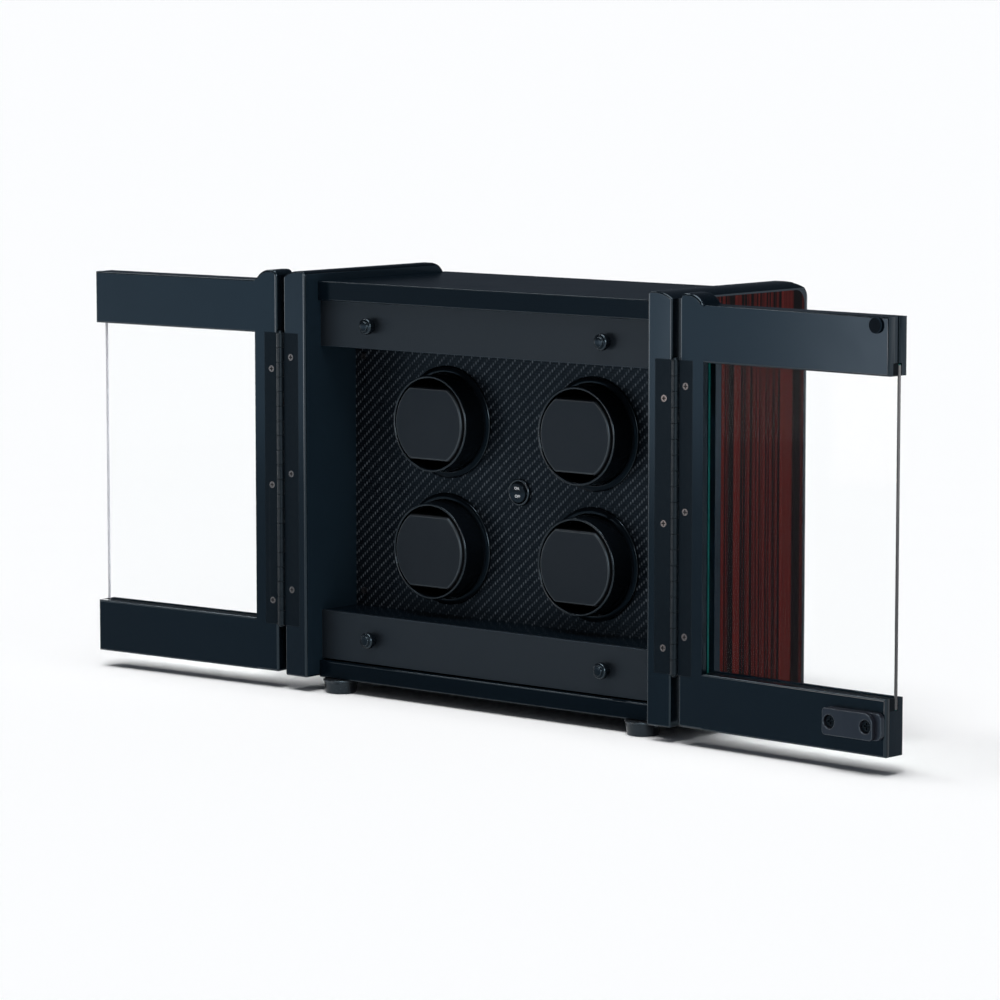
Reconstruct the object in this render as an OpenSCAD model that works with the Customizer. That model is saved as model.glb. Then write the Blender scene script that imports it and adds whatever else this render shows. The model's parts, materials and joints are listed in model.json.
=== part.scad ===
// Watch winder cabinet with four turning heads behind a pair of glass doors.
// Millimetres, +Z up, the doors' side faces -Y. The floor is at Z = 0.
// Depths below are measured back from the plane of the side panels' front edges.

/* [Cabinet] */
// Width over the two side panels
cab_w = 427; // [400:1:460]
// Depth of the side panels
cab_d = 185; // [175:1:220]
// Height of the side panels above the doors' lower ends
side_h = 352; // [340:1:380]
// Thickness of a side panel
side_t = 25; // [20:1:30]
// Radius of a side panel's upper back corner
side_back_r = 18; // [8:1:24]
// Radius of the arc in which a side panel's top falls to its outer face
side_top_r = 26; // [16:1:40]
// Height that the arc falls
side_top_fall = 5.3; // [3:0.1:6.5]
// How far the top panel lies below the side panels' upper edges
top_drop = 8.5; // [4:0.5:14]
// Thickness of the top panel
top_t = 17; // [12:1:20]
// Thickness of the bottom panel
bottom_t = 15; // [12:1:20]
// How far the bottom panel hangs below the doors
bottom_drop = 3; // [0:0.5:5]
// How far the side panels reach below the doors
side_reach = 2; // [0:0.5:3]
// Set-back of the top and bottom panels' front edges
panel_setback = 16; // [8:1:20]
// Thickness of the back panel
back_t = 8; // [5:0.5:10]
// Thickness of the veneer sheets let into the side panels
veneer_t = 0.8; // [0.5:0.1:1.5]

/* [Feet] */
// Height of a foot
foot_h = 12; // [9:0.5:18]
// Radius of a foot at its top
foot_r = 15.5; // [12:0.5:20]

/* [Fascias and winder panel] */
// Depth of the fascias' faces
fascia_y = 20; // [18:0.5:24]
// Thickness of a fascia
fascia_t = 4; // [3:0.5:6]
// Height of the upper fascia's lower edge above the side panels' lower edges
upper_fascia_z = 287; // [284:1:292]
// Height of the lower fascia's upper edge above the side panels' lower edges
lower_fascia_z = 56; // [50:1:58]
// Distance of a thumbscrew from the middle of the cabinet
thumb_x = 129.5; // [100:0.5:150]
// Depth of the winder panel's face
panel_y = 65; // [60:1:68]
// Thickness of the winder panel
panel_t = 4; // [3:0.5:6]

/* [Heads] */
// Distance of a head from the middle of the cabinet
head_x = 81; // [78:0.5:90]
// Height of the middle between the heads above the side panels' lower edges
head_mid_z = 169; // [165:1:172]
// Half the height between the upper and lower heads
head_half_z = 55; // [52:0.5:58]
// Outer radius of a cup at its lip
cup_lip_r = 41.5; // [40.5:0.25:42.25]
// How far a cup's lip stands in front of the winder panel
cup_reach = 25; // [20:1:28]
// Radius of a holder's face
holder_r = 37.5; // [34:0.5:38.5]
// Half height of a holder between its flats
holder_flat = 31; // [26:0.5:32]

/* [Doors] */
// Angle of each door short of lying flat open
door_ajar = 3; // [0:0.5:10]
// Thickness of a door
door_t = 23; // [22:1:30]
// Width of a door's hinge stile
stile_w = 25; // [20:1:32]
// Height of a door's rails
rail_h = 46; // [38:1:52]
// Half the gap between the free ends of the closed doors
meeting_half_gap = 1; // [1:0.5:4]
// Thickness of the glass
glass_t = 4; // [4:0.5:6]

/* [Hinges] */
// Distance of a hinge pin outside the side panel
pin_out = 4; // [3.8:0.1:6]
// Radius of a hinge's barrel
barrel_r = 3.4; // [2.8:0.1:3.4]
// Number of knuckles on a hinge
knuckles = 20; // [10:2:24]
// Length of one knuckle with its gap
knuckle_pitch = 12.8; // [11:0.1:13]
// Height between a leaf's screws
screw_pitch = 101.6; // [90:0.1:104]

/* [Hidden] */
$fn = 64;

RIGHT = 1;
LEFT = -1;
SIDES = [LEFT, RIGHT];
HEADS = [1, 2, 3, 4];
// Overcut of a hole past the faces that it goes through
cut = 1;

LACQUER = [0.055, 0.07, 0.09];
FASCIA = [0.16, 0.185, 0.21];
VENEER = [0.36, 0.16, 0.12];
CARBON = [0.07, 0.08, 0.1];
PLASTIC = [0.05, 0.055, 0.065];
HINGE = [0.09, 0.1, 0.12];
STEEL = [0.62, 0.63, 0.65];
ZINC = [0.55, 0.56, 0.56];
GLASS = [0.75, 0.9, 0.87, 0.35];
BOARD = [0.1, 0.32, 0.18];
WOOD = [0.55, 0.42, 0.28];
RUBBER = [0.1, 0.1, 0.1];

// Heights of the cabinet's boards
side_z = foot_h + bottom_drop;
side_top = side_z + side_h;
side_low = side_z - side_reach;
bottom_z = foot_h;
bottom_top = bottom_z + bottom_t;
top_top = side_top - top_drop;
top_z = top_top - top_t;
// Half widths
outer_x = cab_w / 2;
inner_x = outer_x - side_t;
back_y = cab_d - back_t;
// Where a side panel's top begins to fall, and the small roundings of its other edges
side_arc_x = outer_x - sqrt(pow(side_top_r, 2) - pow(side_top_r - side_top_fall, 2));
side_edge_r = 3;
side_inner_r = 2;
// The border that is left round the veneer
veneer_border = 6;
veneer_front_border = 16;
veneer_top_border = side_top_fall + 1.5;

// Fascias, and the ledges that carry them
shadow_gap = 1.5;
upper_fascia_low = side_z + upper_fascia_z;
lower_fascia_top = side_z + lower_fascia_z;
lower_fascia_low = bottom_top + shadow_gap;
ledge_y = fascia_y + fascia_t;
ledge_t = 6;
ledge_rail_d = 16;
upper_thumb_z = (upper_fascia_low + top_z) / 2;
lower_thumb_z = (lower_fascia_low + lower_fascia_top) / 2;
thumb_shank_r = 2.5;
thumb_shank = 16;
slip = 0.05;
// A screw's cross recess: its length and width over the head's radius, its depth over the head's height
cross_len = 1.25;
cross_width = 0.34;
cross_depth = 0.55;

// Winder panel
panel_back = panel_y + panel_t;
panel_margin_z = 15;
panel_low = lower_fascia_top - panel_margin_z;
panel_high = upper_fascia_low + panel_margin_z;
cleat_w = 12;
cleat_d = 16;
panel_screw_x = inner_x - 10;
panel_screw_low = side_z + 69;
panel_screw_high = side_z + 275.5;
panel_screw_r = 1.6;
panel_head_r = 3;
panel_head_h = 1.4;
panel_screw_l = panel_t + cleat_d - 2;

// Heads
mid_z = side_z + head_mid_z;
function head_px(i) = (i % 2 == 1 ? LEFT : RIGHT) * head_x;
function head_pz(i) = mid_z + (i <= 2 ? 1 : -1) * head_half_z;
ring_in_r = 43;
ring_out_r = 48.5;
ring_proud = 4;
ring_flat = 1.5;
ring_fall = 2;
cup_lip_y = panel_y - cup_reach;
cup_neck_r = 42.4;
cup_in_r = 39.2;
cup_back_y = 92;
cup_back_t = 3;
cup_rear_y = cup_back_y + cup_back_t;
hub_r = 11;
hub_h = 16;
socket_floor_y = cup_back_y - 1;
stem_r = 7;
stem_slip = 0.06;
stem_len = 20;
holder_y = cup_lip_y - 1.5;
holder_body = 29.5;
holder_back_y = holder_y + holder_body;
spindle_r = 3;
boss_r = 6.5;
boss_h = 5;
chassis_y = 102;
chassis_t = 3;
chassis_half_x = 148;
chassis_half_z = 84;
standoff_x = 138;
standoff_z = 74;
gearbox_r = 18;
gearbox_l = 20;
motor_r = 13.5;
motor_l = 26;
gearbox_y = chassis_y + chassis_t;
spindle_in_gearbox = 14;

// Switch
switch_flange_r = 11.5;
switch_proud = 2.8;
switch_barrel_r = 10;
switch_in_r = 9.2;
switch_barrel_l = 16;
rocker_r = 8.8;
rocker_tilt = 7;
rocker_pin_r = 1;
rocker_pin_half = 10.3;
rocker_y = panel_y - switch_proud / 2;
rocker_half_t = 3.6;
rocker_valley = 1.2;

// Doors and hinges. A door's own places run outwards from its pin, with its depth behind the pin
pin_x = outer_x + pin_out;
closed_half_gap = 0.3;
pin_y = -closed_half_gap;
door_end = pin_x - meeting_half_gap;
stile_end = pin_out + stile_w;
door_in = closed_half_gap;
door_out = door_in + door_t;
rail_drop = 9;
rail_top = side_top - rail_drop;
upper_rail_low = rail_top - rail_h;
lower_rail_top = side_z + rail_h;
stile_arc_r = 18;
stile_arc_w = 16;
stile_corner_r = 5;
groove_in = door_in + 5.5;
groove_w = 10.5;
groove_out = groove_in + groove_w;
groove_d = 10;
groove_end = 6;
stile_groove_d = 6;
top_seam_in = door_in + 7.3;
top_seam_w = 5.8;
bottom_seam_in = door_in + 5.2;
bottom_seam_w = 1.2;
seam_d = 1;
tenon_slip = 0.05;
tenon_end_gap = 0.5;
glass_slip = 0.2;
glass_in = groove_out - glass_slip - glass_t;
glass_edge_gap = 1;
leaf_t = 1;
leaf_edge = barrel_r + 0.2;
cabinet_leaf_w = 21;
door_leaf_w = 18;
cabinet_screw_x = 12;
door_screw_x = 10.3;
hinge_l = knuckles * knuckle_pitch;
hinge_mid = side_z + 170;
hinge_low = hinge_mid - hinge_l / 2;
knuckle_gap = 0.2;
pin_r = 1.5;
pin_slip = 0.05;
pin_cap = 1.5;
stagger = 5.5;
hinge_screw_l = 15;
hinge_screw_r = 1.5;
hinge_head_r = 2.9;

// Catch and bumper, on the right door
catch_mid = 185.5;
catch_z = side_z + 24.4;
catch_l = 50;
catch_h = 21.5;
catch_t = 9;
catch_r = 3;
catch_shoulder_r = 9;
catch_nose_l = 5.5;
catch_nose_r = 5;
catch_nose_t = 5;
catch_screw_gap = 36;
catch_bore_r = 5.4;
catch_bore_d = 4.5;
catch_head_r = 4.6;
catch_head_h = 2.4;
catch_shank_r = 1.9;
catch_shank = 16;
bumper_s = 204.2;
bumper_z = rail_top - 6.8;
bumper_r = 6.4;
bumper_t = 2.2;
bumper_stem_r = 2.5;
bumper_stem = 8;

// Back panel screws and inlet
back_screw_xs = [-150, 0, 150];
back_screw_r = 1.9;
back_head_r = 3.6;
back_screw_l = 24;
inlet_x = 140;
inlet_z = 70;
inlet_r = 5.5;
inlet_flange_r = 8.5;
inlet_flange_t = 2;
inlet_l = 18;
inlet_bore_r = 2.75;
inlet_bore_l = 10;

// Feet
foot_x = 168;
foot_ys = [22, 153];
foot_low_r = foot_r - 2.3;
foot_neck_r = foot_r - 0.6;
foot_ring_h = 2;
foot_bore_r = 4.5;
foot_bore_h = 7;
foot_shank_r = 2;
foot_screw_l = 15;
foot_head_r = 4;
foot_head_h = 3;

// The open door's catch reaches forward of the front plane, and the inlet stands behind the back.
// The origin lies midway between them
catch_end = catch_mid + catch_l / 2;
front_reach = closed_half_gap + catch_end * sin(door_ajar) + (catch_t - door_in) * cos(door_ajar);
frame_y = -(cab_d + inlet_flange_t - front_reach) / 2;

// Places

module in_frame() {
    translate([0, frame_y, 0])
        children();
}

// Turns a shape that stands along +Z to run back along +Y
module backwards() {
    rotate([-90, 0, 0])
        children();
}

module on_side(side) {
    if (side == RIGHT)
        children();
    else
        mirror([1, 0, 0])
            children();
}

// A door's own place: X outwards from the pin, Y behind it
module on_door(side) {
    on_side(side)
        translate([pin_x, pin_y, 0])
            rotate([0, 0, -door_ajar])
                children();
}

module at_head(i) {
    translate([head_px(i), 0, head_pz(i)])
        backwards()
            children();
}

// Shapes that repeat

// The waste outside a rounded corner at [x, z], whose arc has its centre towards sx, sz
module corner_waste(x, z, r, sx, sz) {
    translate([x, z])
        difference() {
            translate([min(0, sx * r) - (sx > 0 ? cut : 0), min(0, sz * r) - (sz > 0 ? cut : 0)])
                square([r + cut, r + cut]);
            translate([sx * r, sz * r])
                circle(r);
        }
}

// A screw with a flat conical head, its face at Z = 0 and its point towards +Z
module flat_screw(r, head_r, length) {
    head_h = head_r - r;
    slot = head_r * cross_len;
    slot_w = head_r * cross_width;
    difference() {
        union() {
            cylinder(h = head_h, r1 = head_r, r2 = r);
            cylinder(h = length, r = r);
        }
        translate([-slot / 2, -slot_w / 2, -cut])
            cube([slot, slot_w, cut + head_h * cross_depth]);
        translate([-slot_w / 2, -slot / 2, -cut])
            cube([slot_w, slot, cut + head_h * cross_depth]);
    }
}

// The hole that a flat-headed screw sits in
module flat_screw_hole(r, head_r, length) {
    translate([0, 0, -slip])
        cylinder(h = head_r - r + slip, r1 = head_r + 2 * slip, r2 = r + slip);
    cylinder(h = length + slip, r = r + slip);
}

// A screw with a round drum head that stands on its seat at Z = 0
module drum_screw(r, head_r, head_h, length) {
    slot = head_r * cross_len;
    slot_w = head_r * cross_width;
    difference() {
        union() {
            translate([0, 0, -head_h])
                cylinder(h = head_h, r = head_r);
            cylinder(h = length, r = r);
        }
        translate([-slot / 2, -slot_w / 2, -head_h - cut])
            cube([slot, slot_w, cut + head_h * cross_depth]);
        translate([-slot_w / 2, -slot / 2, -head_h - cut])
            cube([slot_w, slot, cut + head_h * cross_depth]);
    }
}

// Heights of a leaf's three screws: the two leaves of a hinge are staggered, and the left hinge is inverted
function leaf_screw_zs(side, on_cabinet) =
    let (low = hinge_mid - screw_pitch + (on_cabinet ? -1 : 1) * side * stagger)
    [for (k = [0:2]) low + k * screw_pitch];

module on_cabinet_leaf_screws(side) {
    for (z = leaf_screw_zs(side, true))
        on_side(side)
            translate([pin_x - cabinet_screw_x, 0, z])
                backwards()
                    children();
}

module on_door_leaf_screws(side) {
    for (z = leaf_screw_zs(side, false))
        on_door(side)
            translate([door_screw_x, door_in, z])
                backwards()
                    children();
}

module on_panel_screws() {
    for (x = [-panel_screw_x, panel_screw_x])
        for (z = [panel_screw_low, panel_screw_high])
            translate([x, panel_y, z])
                backwards()
                    children();
}

module on_thumbscrews(z) {
    for (x = [-thumb_x, thumb_x])
        translate([x, fascia_y, z])
            backwards()
                children();
}

module on_feet() {
    for (x = [-foot_x, foot_x])
        for (y = foot_ys)
            translate([x, y, 0])
                children();
}

module on_back_screws() {
    for (x = back_screw_xs)
        for (z = [bottom_z + bottom_t / 2, top_z + top_t / 2])
            translate([x, cab_d, z])
                rotate([90, 0, 0])
                    children();
}

module on_standoffs() {
    for (p = [[-standoff_x, 0], [standoff_x, 0], [0, -standoff_z], [0, standoff_z]])
        translate([p[0], 0, mid_z + p[1]])
            backwards()
                children();
}

// Cabinet

// Outline of a side panel seen from its side, or of its veneer when drawn in
module side_outline(front, edge, top) {
    low = side_low + edge;
    high = side_top - top;
    difference() {
        translate([front, low])
            square([cab_d - edge - front, high - low]);
        corner_waste(cab_d - edge, high, side_back_r - edge, -1, -1);
    }
}

module veneer_outline() {
    side_outline(veneer_front_border, veneer_border, veneer_top_border);
}

// A side panel seen from the front: its top falls in an arc to its outer face
module side_profile() {
    difference() {
        translate([inner_x, side_low])
            square([side_t, side_top - side_low]);
        difference() {
            translate([side_arc_x, side_top - side_top_fall])
                square([outer_x - side_arc_x + cut, side_top_fall + cut]);
            translate([side_arc_x, side_top - side_top_r])
                circle(side_top_r);
        }
        corner_waste(inner_x, side_top, side_edge_r, 1, -1);
    }
}

module side_panel(side) {
    color(LACQUER)
        difference() {
            on_side(side)
                intersection() {
                    translate([inner_x, 0, 0])
                        rotate([90, 0, 90])
                            linear_extrude(side_t)
                                side_outline(0, 0, 0);
                    translate([0, cab_d + cut, 0])
                        rotate([90, 0, 0])
                            linear_extrude(cab_d + 2 * cut)
                                side_profile();
                    translate([0, 0, side_low - cut])
                        linear_extrude(side_top - side_low + 2 * cut)
                            difference() {
                                translate([inner_x, 0])
                                    square([side_t, cab_d]);
                                corner_waste(outer_x, cab_d, side_edge_r, -1, -1);
                                corner_waste(inner_x, 0, side_inner_r, 1, 1);
                            }
                }
            on_side(side)
                translate([outer_x - veneer_t, 0, 0])
                    rotate([90, 0, 90])
                        linear_extrude(veneer_t + cut)
                            veneer_outline();
            on_side(side)
                translate([pin_x - cabinet_leaf_w, -cut, hinge_low])
                    cube([cabinet_leaf_w, leaf_t + cut, hinge_l]);
            on_cabinet_leaf_screws(side)
                flat_screw_hole(hinge_screw_r, hinge_head_r, hinge_screw_l);
        }
}

module side_veneer(side) {
    color(VENEER)
        on_side(side)
            translate([outer_x - veneer_t, 0, 0])
                rotate([90, 0, 90])
                    linear_extrude(veneer_t)
                        veneer_outline();
}

module top_panel() {
    color(LACQUER)
        difference() {
            translate([-inner_x, panel_setback, top_z])
                cube([2 * inner_x, back_y - panel_setback, top_t]);
            on_back_screws()
                flat_screw_hole(back_screw_r, back_head_r, back_screw_l);
        }
}

module bottom_panel() {
    color(LACQUER)
        difference() {
            translate([-inner_x, panel_setback, bottom_z])
                cube([2 * inner_x, back_y - panel_setback, bottom_t]);
            on_back_screws()
                flat_screw_hole(back_screw_r, back_head_r, back_screw_l);
            on_feet()
                translate([0, 0, foot_bore_h])
                    cylinder(h = foot_screw_l + slip, r = foot_shank_r + slip);
        }
}

module back_panel() {
    color(LACQUER)
        difference() {
            translate([-inner_x, back_y, bottom_z])
                cube([2 * inner_x, back_t, top_top - bottom_z]);
            on_back_screws()
                flat_screw_hole(back_screw_r, back_head_r, back_screw_l);
            translate([inlet_x, back_y - cut, inlet_z])
                backwards()
                    cylinder(h = back_t + 2 * cut, r = inlet_r + slip);
        }
}

module back_panel_screws() {
    color(ZINC)
        on_back_screws()
            flat_screw(back_screw_r, back_head_r, back_screw_l);
}

module fascia(low, high, screw_z) {
    color(FASCIA)
        difference() {
            translate([-inner_x, fascia_y, low])
                cube([2 * inner_x, fascia_t, high - low]);
            on_thumbscrews(screw_z)
                translate([0, 0, -cut])
                    cylinder(h = fascia_t + 2 * cut, r = thumb_shank_r + slip);
        }
}

module upper_fascia() {
    fascia(upper_fascia_low, top_z, upper_thumb_z);
}

module lower_fascia() {
    fascia(lower_fascia_low, lower_fascia_top, lower_thumb_z);
}

// A stepped round head on a threaded shank
module thumbscrew() {
    base_r = 5;
    base_h = 3;
    head_r = 7;
    head_h = 6;
    nose_r = 4.4;
    nose_h = 2;
    translate([0, 0, -base_h])
        cylinder(h = base_h, r = base_r);
    translate([0, 0, -base_h - head_h])
        cylinder(h = head_h, r = head_r);
    translate([0, 0, -base_h - head_h - nose_h])
        cylinder(h = nose_h, r = nose_r);
    cylinder(h = thumb_shank, r = thumb_shank_r);
}

module fascia_thumbscrews() {
    color(PLASTIC)
        for (z = [upper_thumb_z, lower_thumb_z])
            on_thumbscrews(z)
                thumbscrew();
}

// A board behind a fascia's edge, with a rail that takes the thumbscrews
module ledge(board_z, rail_z, rail_h, screw_z) {
    color(LACQUER)
        difference() {
            union() {
                translate([-inner_x, ledge_y, board_z])
                    cube([2 * inner_x, panel_y - ledge_y, ledge_t]);
                translate([-inner_x, ledge_y, rail_z])
                    cube([2 * inner_x, ledge_rail_d, rail_h]);
            }
            on_thumbscrews(screw_z)
                cylinder(h = thumb_shank + slip, r = thumb_shank_r + slip);
        }
}

module upper_ledge() {
    rail_z = upper_fascia_low + ledge_t;
    ledge(upper_fascia_low, rail_z, top_z - rail_z, upper_thumb_z);
}

module lower_ledge() {
    board_z = lower_fascia_top - ledge_t;
    ledge(board_z, bottom_top, board_z - bottom_top, lower_thumb_z);
}

// Winder panel and what it carries

module winder_panel() {
    standoff_screw_r = 1.5;
    color(CARBON)
        difference() {
            translate([-inner_x, panel_y, panel_low])
                cube([2 * inner_x, panel_t, panel_high - panel_low]);
            for (i = HEADS)
                at_head(i)
                    translate([0, 0, panel_y - cut])
                        cylinder(h = panel_t + 2 * cut, r = ring_in_r);
            translate([0, panel_y - cut, mid_z])
                backwards()
                    cylinder(h = panel_t + 2 * cut, r = switch_barrel_r + slip);
            on_panel_screws()
                translate([0, 0, -cut])
                    cylinder(h = panel_t + 2 * cut, r = panel_screw_r + slip);
            on_standoffs()
                translate([0, 0, panel_back - standoff_screw_r])
                    cylinder(h = 2 * standoff_screw_r, r = standoff_screw_r);
        }
}

module panel_cleats() {
    color(WOOD)
        difference() {
            for (side = SIDES)
                on_side(side)
                    translate([inner_x - cleat_w, panel_back, panel_low])
                        cube([cleat_w, cleat_d, panel_high - panel_low]);
            on_panel_screws()
                cylinder(h = panel_screw_l + slip, r = panel_screw_r + slip);
        }
}

module winder_panel_screws() {
    color(STEEL)
        on_panel_screws()
            drum_screw(panel_screw_r, panel_head_r, panel_head_h, panel_screw_l);
}

// Rings that fall away from a flat inner lip to a thinner outer edge
module bezel_rings() {
    color(PLASTIC)
        for (i = HEADS)
            at_head(i)
                translate([0, 0, panel_y - ring_proud])
                    rotate_extrude()
                        polygon([
                            [ring_in_r, 0], [ring_in_r + ring_flat, 0], [ring_out_r, ring_fall],
                            [ring_out_r, ring_proud], [ring_in_r, ring_proud]
                        ]);
}

module chassis_plate() {
    color(ZINC)
        difference() {
            translate([-chassis_half_x, chassis_y, mid_z - chassis_half_z])
                cube([2 * chassis_half_x, chassis_t, 2 * chassis_half_z]);
            for (i = HEADS)
                at_head(i)
                    translate([0, 0, chassis_y - cut])
                        cylinder(h = chassis_t + 2 * cut, r = boss_r + slip);
        }
}

module chassis_standoffs() {
    standoff_r = 4;
    spigot_r = 1.45;
    spigot_h = 1.4;
    color(STEEL)
        on_standoffs() {
            translate([0, 0, panel_back])
                cylinder(h = chassis_y - panel_back, r = standoff_r);
            translate([0, 0, panel_back - spigot_h])
                cylinder(h = spigot_h, r = spigot_r);
        }
}

// A flat round gearbox with a bearing boss in front and its motor behind
module gearmotor() {
    terminal = [1, 4, 5];
    motor_end = gearbox_y + gearbox_l + motor_l;
    difference() {
        union() {
            translate([0, 0, gearbox_y])
                cylinder(h = gearbox_l, r = gearbox_r);
            translate([0, 0, gearbox_y - boss_h])
                cylinder(h = boss_h, r = boss_r);
            translate([0, 0, gearbox_y + gearbox_l])
                cylinder(h = motor_l, r = motor_r);
            for (side = SIDES)
                translate([side * motor_r / 2 - terminal[0] / 2, -terminal[1] / 2, motor_end])
                    cube(terminal);
        }
        translate([0, 0, gearbox_y - boss_h - cut])
            cylinder(h = boss_h + cut + spindle_in_gearbox + cut, r = spindle_r + slip);
    }
}

module gearmotors() {
    color(STEEL)
        for (i = HEADS)
            at_head(i)
                gearmotor();
}

// A circuit board on four short feet, with its chips, a relay and its connectors
module control_board() {
    half_x = 40;
    half_z = 30;
    board_t = 1.6;
    stand = 3;
    stand_r = 3;
    stand_inset = 5;
    chip = [18, 2, 18];
    relay = [19, 15, 15];
    relay_at = [14, 2];
    plug = [12, 7, 6];
    plug_pitch = 18;
    plug_at = [-34, -27];
    can_r = 4;
    can_h = 11;
    can_pitch = 12;
    can_at = [-28, -8];
    board_y = gearbox_y + stand;
    front_y = board_y + board_t;
    color(BOARD)
        translate([0, 0, mid_z]) {
            translate([-half_x, board_y, -half_z])
                cube([2 * half_x, board_t, 2 * half_z]);
            for (x = [-1, 1])
                for (z = [-1, 1])
                    translate([x * (half_x - stand_inset), gearbox_y, z * (half_z - stand_inset)])
                        backwards()
                            cylinder(h = stand, r = stand_r);
            translate([-chip[0] / 2, front_y, -chip[2] / 2])
                cube(chip);
            translate([relay_at[0], front_y, relay_at[1]])
                cube(relay);
            for (k = [0:3])
                translate([plug_at[0] + plug_pitch * k, front_y, plug_at[1]])
                    cube(plug);
            for (k = [0:2])
                translate([can_at[0], front_y, can_at[1] + can_pitch * k])
                    backwards()
                        cylinder(h = can_h, r = can_r);
        }
}

module power_inlet() {
    nut_r = 7.5;
    nut_t = 2.5;
    color(PLASTIC)
        translate([inlet_x, 0, inlet_z])
            backwards()
                difference() {
                    union() {
                        translate([0, 0, cab_d - inlet_l + inlet_flange_t])
                            cylinder(h = inlet_l, r = inlet_r);
                        translate([0, 0, cab_d])
                            cylinder(h = inlet_flange_t, r = inlet_flange_r);
                        translate([0, 0, back_y - nut_t])
                            cylinder(h = nut_t, r = nut_r, $fn = 6);
                    }
                    translate([0, 0, cab_d + inlet_flange_t - inlet_bore_l])
                        cylinder(h = inlet_bore_l + cut, r = inlet_bore_r);
                }
}

module switch_body() {
    terminal = [5, 1, 8];
    terminal_y = 5;
    floor_t = 3;
    pin_end_gap = 0.2;
    color(PLASTIC)
        translate([0, 0, mid_z])
            difference() {
                backwards() {
                    translate([0, 0, panel_y - switch_proud])
                        difference() {
                            cylinder(h = switch_proud, r = switch_flange_r);
                            translate([0, 0, -cut])
                                cylinder(h = switch_proud + 2 * cut, r = switch_in_r);
                        }
                    translate([0, 0, panel_y])
                        difference() {
                            cylinder(h = switch_barrel_l, r = switch_barrel_r);
                            translate([0, 0, -cut])
                                cylinder(h = switch_barrel_l - floor_t + cut, r = switch_in_r);
                        }
                    for (y = [-terminal_y, terminal_y])
                        translate([-terminal[0] / 2, y - terminal[1] / 2, panel_y + switch_barrel_l])
                            cube(terminal);
                }
                translate([-rocker_pin_half - pin_end_gap, rocker_y, 0])
                    rotate([0, 90, 0])
                        cylinder(h = 2 * (rocker_pin_half + pin_end_gap), r = rocker_pin_r + slip);
            }
}

// A tilting button with a shallow valley across its face, on a cross pin
module switch_rocker() {
    color(PLASTIC)
        translate([0, rocker_y, mid_z])
            rotate([rocker_tilt, 0, 0]) {
                intersection() {
                    sphere(rocker_r);
                    translate([-rocker_r, 0, 0])
                        rotate([90, 0, 90])
                            linear_extrude(2 * rocker_r)
                                polygon([
                                    [-rocker_half_t, -rocker_r], [rocker_half_t, -rocker_r],
                                    [rocker_half_t, rocker_r], [-rocker_half_t, rocker_r],
                                    [rocker_valley - rocker_half_t, 0]
                                ]);
                }
                translate([-rocker_pin_half, 0, 0])
                    rotate([0, 90, 0])
                        cylinder(h = 2 * rocker_pin_half, r = rocker_pin_r);
            }
}

// Feet

module feet() {
    color(PLASTIC)
        on_feet()
            difference() {
                union() {
                    cylinder(h = foot_h - foot_ring_h, r1 = foot_low_r, r2 = foot_neck_r);
                    translate([0, 0, foot_h - foot_ring_h])
                        cylinder(h = foot_ring_h, r = foot_r);
                }
                translate([0, 0, -cut])
                    cylinder(h = foot_bore_h + cut, r = foot_bore_r);
                cylinder(h = foot_h + cut, r = foot_shank_r + slip);
            }
}

module foot_screws() {
    color(ZINC)
        on_feet()
            translate([0, 0, foot_bore_h])
                drum_screw(foot_shank_r, foot_head_r, foot_head_h, foot_screw_l);
}

// Hinges. First marks the knuckle that the leaf's own ones start from

module barrel_knuckles(first) {
    for (k = [first:2:knuckles - 1])
        translate([0, 0, hinge_low + k * knuckle_pitch + knuckle_gap / 2])
            children();
}

module leaf(width, first, face) {
    own_l = knuckle_pitch - knuckle_gap;
    difference() {
        union() {
            translate([leaf_edge, face, hinge_low])
                cube([width - leaf_edge, leaf_t, hinge_l]);
            barrel_knuckles(first) {
                cylinder(h = own_l, r = barrel_r);
                translate([0, face, 0])
                    cube([leaf_edge + cut, leaf_t, own_l]);
            }
        }
        translate([0, 0, hinge_low - cut])
            cylinder(h = hinge_l + 2 * cut, r = pin_r + pin_slip);
    }
}

module hinge_cabinet_leaf(side) {
    color(HINGE)
        difference() {
            on_side(side)
                translate([pin_x, pin_y, 0])
                    mirror([1, 0, 0])
                        leaf(cabinet_leaf_w, 0, -pin_y);
            on_cabinet_leaf_screws(side)
                flat_screw_hole(hinge_screw_r, hinge_head_r, hinge_screw_l);
        }
}

module hinge_door_leaf(side) {
    color(HINGE)
        difference() {
            on_door(side)
                leaf(door_leaf_w, 1, door_in);
            on_door_leaf_screws(side)
                flat_screw_hole(hinge_screw_r, hinge_head_r, hinge_screw_l);
        }
}

module hinge_pin(side) {
    pin_cap_r = 2.6;
    pin_cap_end_r = 1.6;
    cap_gap = 0.1;
    color(STEEL)
        on_side(side)
            translate([pin_x, pin_y, hinge_low]) {
                translate([0, 0, -cap_gap])
                    cylinder(h = hinge_l + 2 * cap_gap, r = pin_r);
                translate([0, 0, -cap_gap - pin_cap])
                    cylinder(h = pin_cap, r1 = pin_cap_end_r, r2 = pin_cap_r);
                translate([0, 0, hinge_l + cap_gap])
                    cylinder(h = pin_cap, r1 = pin_cap_r, r2 = pin_cap_end_r);
            }
}

module cabinet_hinge_screws() {
    color(STEEL)
        for (side = SIDES)
            on_cabinet_leaf_screws(side)
                flat_screw(hinge_screw_r, hinge_head_r, hinge_screw_l);
}

module door_hinge_screws(side) {
    color(STEEL)
        on_door_leaf_screws(side)
            flat_screw(hinge_screw_r, hinge_head_r, hinge_screw_l);
}

// Doors

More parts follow.
